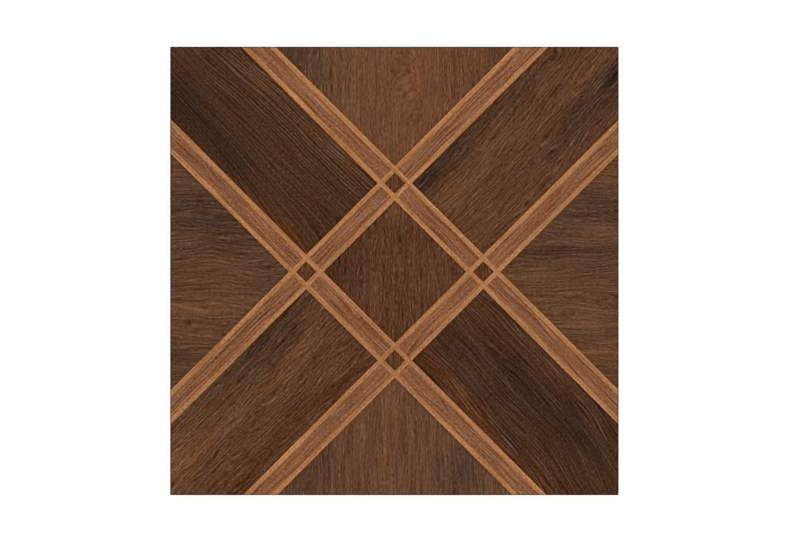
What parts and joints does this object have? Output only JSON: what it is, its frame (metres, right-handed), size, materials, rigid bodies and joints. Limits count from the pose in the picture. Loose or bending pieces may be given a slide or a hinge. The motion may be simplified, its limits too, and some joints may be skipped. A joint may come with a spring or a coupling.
{
  "type": "wood-look floor tile",
  "caption": "Square flat floor tile of pressed porcelain with a printed wood lattice on its face, fine bevelled edges and a keyed back for adhesive.",
  "frame": {"origin": "centre of the back, on the plane of the rib tops that the tile rests on", "axes": "+Z out of the printed face; +X to the right and +Y to the top of the print as the picture shows it"},
  "size_m": [0.6, 0.6, 0.009],
  "materials": {
    "tile": "matte"
  },
  "bodies": {
    "root": {"floor_tile": "tile"}
  },
  "joints": []
}
